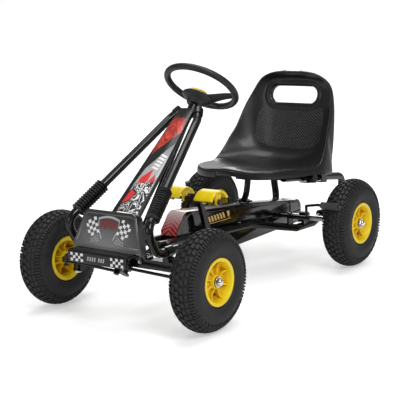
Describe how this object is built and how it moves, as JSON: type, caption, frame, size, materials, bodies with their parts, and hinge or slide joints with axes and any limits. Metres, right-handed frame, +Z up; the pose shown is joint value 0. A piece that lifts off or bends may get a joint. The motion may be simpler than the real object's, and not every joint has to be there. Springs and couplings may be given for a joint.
{
  "type": "pedal go kart",
  "caption": "Child's pedal go kart with pneumatic tyres, a tube frame, chain drive, rod steering, a hand brake and a bucket seat that slides on rails.",
  "frame": {"origin": "on the ground, under the middle of the outline's length and width", "axes": "+X forward, +Y to the driver's left, +Z up"},
  "size_m": [0.9901, 0.578, 0.6119],
  "materials": {
    "black_paint": "gloss black powder coat",
    "black_plastic": "satin black",
    "gloss_case": "gloss black",
    "plate_plastic": "smoke grey, glossy",
    "seat_plastic": "satin charcoal, grained",
    "yellow_plastic": "bright yellow, semi-gloss",
    "tyre_rubber": "matte tread, satin sidewall",
    "boot_rubber": "ribbed, satin",
    "grip_rubber": "soft grip",
    "brake_rubber": "worn matte",
    "zinc": "zinc plated",
    "chrome": "bright",
    "chain_steel": "oiled",
    "bush_nylon": "nylon"
  },
  "bodies": {
    "frame": {"main_frame": "black_paint", "front_axle_beam": "black_paint", "strut_left": "black_paint", "strut_right": "black_paint", "boot_left": "boot_rubber", "boot_right": "boot_rubber", "strut_clamps": "black_paint", "column_bracket": "black_paint", "column_bushes": "bush_nylon", "fairing": "black_plastic", "number_plate": "plate_plastic", "bumper": "black_plastic", "bumper_brackets": "black_paint", "chain_case_upper": "gloss_case", "chain_case_lower": "gloss_case", "seat_frame": "black_paint", "bearing_housings": "black_paint", "axle_bushes": "bush_nylon", "crank_bushes": "bush_nylon", "frame_bolts": "zinc", "kingpins": "zinc", "chain": "chain_steel"},
    "steering": {"steering_column": "black_paint", "steering_wheel": "grip_rubber", "wheel_cap": "yellow_plastic"},
    "knuckle_l": {"knuckle_left": "black_paint", "wheel_nut_front_left": "chrome"},
    "knuckle_r": {"knuckle_right": "black_paint", "wheel_nut_front_right": "chrome"},
    "tie_rod_l": {"tie_rod_left": "black_paint"},
    "tie_rod_r": {"tie_rod_right": "black_paint"},
    "wheel_fl": {"tyre_front_left": "tyre_rubber", "rim_front_left": "yellow_plastic", "hub_bushes_front_left": "bush_nylon"},
    "wheel_fr": {"tyre_front_right": "tyre_rubber", "rim_front_right": "yellow_plastic", "hub_bushes_front_right": "bush_nylon"},
    "wheel_rl": {"tyre_rear_left": "tyre_rubber", "rim_rear_left": "yellow_plastic", "hub_bushes_rear_left": "bush_nylon"},
    "rear_drive": {"rear_axle": "zinc", "rear_sprocket": "zinc", "drive_pin": "zinc", "wheel_nuts_rear": "chrome", "tyre_rear_right": "tyre_rubber", "rim_rear_right": "yellow_plastic"},
    "crank": {"crank_axle": "zinc", "chainring": "zinc", "crank_arm_left": "black_paint", "crank_arm_right": "black_paint"},
    "pedal_l": {"pedal_left": "yellow_plastic"},
    "pedal_r": {"pedal_right": "yellow_plastic"},
    "seat": {"seat_shell": "seat_plastic", "seat_carrier": "black_paint", "seat_screws": "zinc"},
    "seat_knob": {"seat_knob": "black_plastic"},
    "brake": {"brake_shaft": "black_paint", "brake_shoes": "brake_rubber", "brake_grip": "grip_rubber"}
  },
  "joints": [
    {"name": "steering_wheel_turn", "type": "hinge", "parent": "frame", "child": "steering", "pos_m": [0.04, 0, 0.542], "axis": [-0.6347, 0, 0.7727], "range_deg": [-42, 42]},
    {"name": "left_kingpin", "type": "hinge", "parent": "frame", "child": "knuckle_l", "pos_m": [0.37, 0.178, 0.125], "axis": [0, 0, 1], "range_deg": [-28.5, 28.5]},
    {"name": "right_kingpin", "type": "hinge", "parent": "frame", "child": "knuckle_r", "pos_m": [0.37, -0.178, 0.125], "axis": [0, 0, 1], "range_deg": [-28.5, 28.5]},
    {"name": "left_tie_rod_pivot", "type": "hinge", "parent": "steering", "child": "tie_rod_l", "pos_m": [0.40987, 0, 0.13852], "axis": [-0.6347, 0, 0.7727], "range_deg": [-42.5, 42.5]},
    {"name": "right_tie_rod_pivot", "type": "hinge", "parent": "steering", "child": "tie_rod_r", "pos_m": [0.41813, 0, 0.12848], "axis": [-0.6347, 0, 0.7727], "range_deg": [-42.5, 42.5]},
    {"name": "front_left_wheel_spin", "type": "hinge", "parent": "knuckle_l", "child": "wheel_fl", "pos_m": [0.37, 0.243, 0.125], "axis": [0, 1, 0], "continuous": true},
    {"name": "front_right_wheel_spin", "type": "hinge", "parent": "knuckle_r", "child": "wheel_fr", "pos_m": [0.37, -0.243, 0.125], "axis": [0, 1, 0], "continuous": true},
    {"name": "rear_left_wheel_spin", "type": "hinge", "parent": "rear_drive", "child": "wheel_rl", "pos_m": [-0.314, 0.249, 0.125], "axis": [0, 1, 0], "continuous": true},
    {"name": "rear_axle_spin", "type": "hinge", "parent": "frame", "child": "rear_drive", "pos_m": [-0.314, 0, 0.125], "axis": [0, 1, 0], "continuous": true},
    {"name": "crank_spin", "type": "hinge", "parent": "frame", "child": "crank", "pos_m": [0.111, 0, 0.168], "axis": [0, 1, 0], "continuous": true},
    {"name": "left_pedal_pivot", "type": "hinge", "parent": "crank", "child": "pedal_l", "pos_m": [0.14036, 0.09, 0.25835], "axis": [0, 1, 0], "continuous": true},
    {"name": "right_pedal_pivot", "type": "hinge", "parent": "crank", "child": "pedal_r", "pos_m": [0.04501, -0.09, 0.23634], "axis": [0, 1, 0], "continuous": true},
    {"name": "seat_slide", "type": "slide", "parent": "frame", "child": "seat", "axis": [0.9889, 0, 0.1483], "range_m": [-0.03, 0.04]},
    {"name": "seat_knob_turn", "type": "hinge", "parent": "seat", "child": "seat_knob", "pos_m": [-0.264, 0.15, 0.2545], "axis": [0, 1, 0], "range_deg": [0, 360]},
    {"name": "hand_brake", "type": "hinge", "parent": "frame", "child": "brake", "pos_m": [-0.254, 0, 0.138], "axis": [0, -1, 0], "range_deg": [0, 11]}
  ],
  "couplings": [
    {"joint": "left_kingpin", "follows": "steering_wheel_turn", "ratio": 0.66667},
    {"joint": "right_kingpin", "follows": "steering_wheel_turn", "ratio": 0.66667},
    {"joint": "left_tie_rod_pivot", "follows": "steering_wheel_turn", "ratio": -1},
    {"joint": "right_tie_rod_pivot", "follows": "steering_wheel_turn", "ratio": -1},
    {"joint": "crank_spin", "follows": "rear_axle_spin", "ratio": 0.63636},
    {"joint": "left_pedal_pivot", "follows": "rear_axle_spin", "ratio": -0.63636},
    {"joint": "right_pedal_pivot", "follows": "rear_axle_spin", "ratio": -0.63636}
  ]
}
